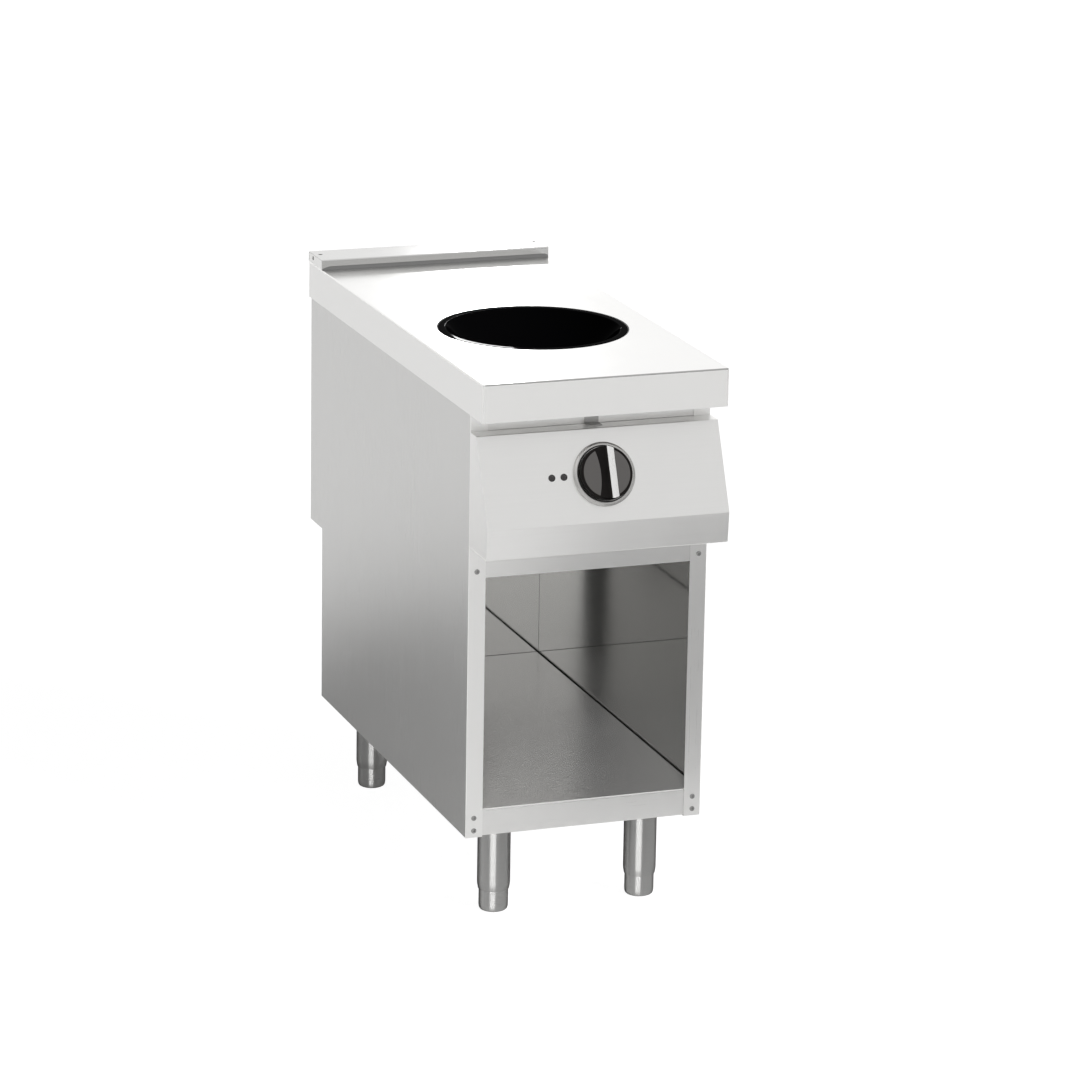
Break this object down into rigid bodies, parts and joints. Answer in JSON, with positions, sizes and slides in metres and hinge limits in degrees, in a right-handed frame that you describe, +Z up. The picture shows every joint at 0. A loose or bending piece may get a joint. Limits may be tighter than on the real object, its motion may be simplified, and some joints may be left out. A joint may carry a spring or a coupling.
{
  "type": "wok range",
  "caption": "Free-standing induction wok range with a round glass bowl, a sloping control panel with a rotary knob, an open storage bay and height-adjustable feet.",
  "frame": {"origin": "on the floor, under the middle of the whole unit", "axes": "+X to the right and +Y to the back, seen from the front, +Z up"},
  "size_m": [0.4, 0.9306, 0.91],
  "materials": {
    "top_steel": "bright satin sheet",
    "cabinet_steel": "satin sheet",
    "panel_steel": "satin sheet with a fine grain",
    "catch_steel": "dark satin sheet",
    "black_glass": "opaque black glass ceramic, polished",
    "black_seal": "matt silicone",
    "winding": "lacquered copper strands",
    "former_plastic": "heat-proof moulding",
    "ferrite": "dark grey ferrite",
    "inner_sheet": "zinc-coated sheet",
    "foot_steel": "satin tube",
    "insert_steel": "turned satin",
    "filter_metal": "satin",
    "gland_plastic": "fine texture",
    "stud_brass": "turned",
    "bezel_metal": "turned satin",
    "knob_plastic": "fine texture",
    "inlay_metal": "bright satin",
    "lamp_lens": "dark lens",
    "board": "coated circuit board",
    "sink_aluminium": "extruded"
  },
  "bodies": {
    "range": {"worktop": "top_steel", "rear_upstand": "top_steel", "wok_bowl": "black_glass", "bowl_seal": "black_seal", "induction_coil": "winding", "coil_former": "former_plastic", "ferrite_bars": "ferrite", "coil_bridge": "inner_sheet", "bowl_probe": "former_plastic", "left_side_panel": "cabinet_steel", "right_side_panel": "cabinet_steel", "top_rail": "cabinet_steel", "bottom_rail": "cabinet_steel", "neck_rail": "cabinet_steel", "overhang_soffit": "cabinet_steel", "base_floor": "cabinet_steel", "base_back": "cabinet_steel", "front_foot_beam": "cabinet_steel", "rear_foot_beam": "cabinet_steel", "foot_sleeves": "foot_steel", "housing_floor": "cabinet_steel", "intake_filter": "filter_metal", "rear_ledge": "cabinet_steel", "rear_cover": "cabinet_steel", "cable_gland": "gland_plastic", "bonding_stud": "stud_brass", "terminal_block": "gland_plastic", "control_panel": "panel_steel", "left_panel_cheek": "panel_steel", "right_panel_cheek": "panel_steel", "panel_catch": "catch_steel", "knob_bezel": "bezel_metal", "power_regulator": "gland_plastic", "power_lamp": "lamp_lens", "heat_lamp": "lamp_lens", "power_tray": "inner_sheet", "power_board": "board", "filter_capacitors": "gland_plastic", "heat_sink": "sink_aluminium", "fan_bulkhead": "inner_sheet", "fan_housing": "gland_plastic"},
    "control_knob": {"knob_body": "knob_plastic", "knob_inlay": "inlay_metal", "knob_spindle": "inlay_metal"},
    "fan_wheel": {"fan_rotor": "gland_plastic"},
    "foot_front_left": {"foot_insert_front_left": "insert_steel"},
    "foot_front_right": {"foot_insert_front_right": "insert_steel"},
    "foot_rear_left": {"foot_insert_rear_left": "insert_steel"},
    "foot_rear_right": {"foot_insert_rear_right": "insert_steel"}
  },
  "joints": [
    {"name": "knob_turn", "type": "hinge", "parent": "range", "child": "control_knob", "pos_m": [0, -0.4269, 0.73766], "axis": [0, 0.9175, -0.3978], "range_deg": [0, 300]},
    {"name": "fan_spin", "type": "hinge", "parent": "range", "child": "fan_wheel", "pos_m": [0.075, 0.37483, 0.6335], "axis": [0, 1, 0], "continuous": true},
    {"name": "foot_height_front_left", "type": "slide", "parent": "range", "child": "foot_front_left", "axis": [0, 0, -1], "range_m": [-0.02, 0.025]},
    {"name": "foot_height_front_right", "type": "slide", "parent": "range", "child": "foot_front_right", "axis": [0, 0, -1], "range_m": [-0.02, 0.025]},
    {"name": "foot_height_rear_left", "type": "slide", "parent": "range", "child": "foot_rear_left", "axis": [0, 0, -1], "range_m": [-0.02, 0.025]},
    {"name": "foot_height_rear_right", "type": "slide", "parent": "range", "child": "foot_rear_right", "axis": [0, 0, -1], "range_m": [-0.02, 0.025]}
  ]
}
